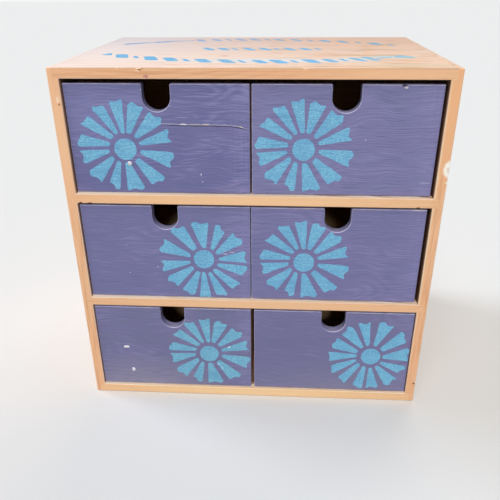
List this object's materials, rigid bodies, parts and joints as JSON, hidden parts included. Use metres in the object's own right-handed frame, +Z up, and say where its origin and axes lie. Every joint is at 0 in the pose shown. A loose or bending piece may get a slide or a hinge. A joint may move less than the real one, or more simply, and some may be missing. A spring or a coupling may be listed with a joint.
{
  "type": "thread drawer cabinet",
  "caption": "Free-standing table-top wooden cabinet with tiers of painted drawers, each pulled by a U-shaped finger notch cut into the top of its front.",
  "frame": {"origin": "centre of the case's footprint, on the surface that the cabinet stands on", "axes": "+X to the right as seen from the drawer fronts, +Y from the fronts to the back, +Z up"},
  "size_m": [0.285, 0.204, 0.284],
  "materials": {
    "pine_board": "bare, sanded",
    "painted_front": "violet-blue matt paint with a stencilled daisy",
    "drawer_wood": "bare",
    "thin_plywood": "bare",
    "steel_brad": "plain"
  },
  "bodies": {
    "case": {"bottom_board": "pine_board", "top_board": "pine_board", "lower_shelf": "pine_board", "upper_shelf": "pine_board", "left_side": "pine_board", "right_side": "pine_board", "back_panel": "thin_plywood", "back_brads": "steel_brad"},
    "drawer_top_left": {"drawer_top_left_front": "painted_front", "drawer_top_left_left_wall": "drawer_wood", "drawer_top_left_right_wall": "drawer_wood", "drawer_top_left_back_wall": "drawer_wood", "drawer_top_left_floor": "thin_plywood", "drawer_top_left_brads": "steel_brad"},
    "drawer_top_right": {"drawer_top_right_front": "painted_front", "drawer_top_right_left_wall": "drawer_wood", "drawer_top_right_right_wall": "drawer_wood", "drawer_top_right_back_wall": "drawer_wood", "drawer_top_right_floor": "thin_plywood", "drawer_top_right_brads": "steel_brad"},
    "drawer_middle_left": {"drawer_middle_left_front": "painted_front", "drawer_middle_left_left_wall": "drawer_wood", "drawer_middle_left_right_wall": "drawer_wood", "drawer_middle_left_back_wall": "drawer_wood", "drawer_middle_left_floor": "thin_plywood", "drawer_middle_left_brads": "steel_brad"},
    "drawer_middle_right": {"drawer_middle_right_front": "painted_front", "drawer_middle_right_left_wall": "drawer_wood", "drawer_middle_right_right_wall": "drawer_wood", "drawer_middle_right_back_wall": "drawer_wood", "drawer_middle_right_floor": "thin_plywood", "drawer_middle_right_brads": "steel_brad"},
    "drawer_bottom_left": {"drawer_bottom_left_front": "painted_front", "drawer_bottom_left_left_wall": "drawer_wood", "drawer_bottom_left_right_wall": "drawer_wood", "drawer_bottom_left_back_wall": "drawer_wood", "drawer_bottom_left_floor": "thin_plywood", "drawer_bottom_left_brads": "steel_brad"},
    "drawer_bottom_right": {"drawer_bottom_right_front": "painted_front", "drawer_bottom_right_left_wall": "drawer_wood", "drawer_bottom_right_right_wall": "drawer_wood", "drawer_bottom_right_back_wall": "drawer_wood", "drawer_bottom_right_floor": "thin_plywood", "drawer_bottom_right_brads": "steel_brad"}
  },
  "joints": [
    {"name": "drawer_top_left_slide", "type": "slide", "parent": "case", "child": "drawer_top_left", "axis": [0, -1, 0], "range_m": [0, 0.16]},
    {"name": "drawer_top_right_slide", "type": "slide", "parent": "case", "child": "drawer_top_right", "axis": [0, -1, 0], "range_m": [0, 0.16]},
    {"name": "drawer_middle_left_slide", "type": "slide", "parent": "case", "child": "drawer_middle_left", "axis": [0, -1, 0], "range_m": [0, 0.16]},
    {"name": "drawer_middle_right_slide", "type": "slide", "parent": "case", "child": "drawer_middle_right", "axis": [0, -1, 0], "range_m": [0, 0.16]},
    {"name": "drawer_bottom_left_slide", "type": "slide", "parent": "case", "child": "drawer_bottom_left", "axis": [0, -1, 0], "range_m": [0, 0.16]},
    {"name": "drawer_bottom_right_slide", "type": "slide", "parent": "case", "child": "drawer_bottom_right", "axis": [0, -1, 0], "range_m": [0, 0.16]}
  ]
}
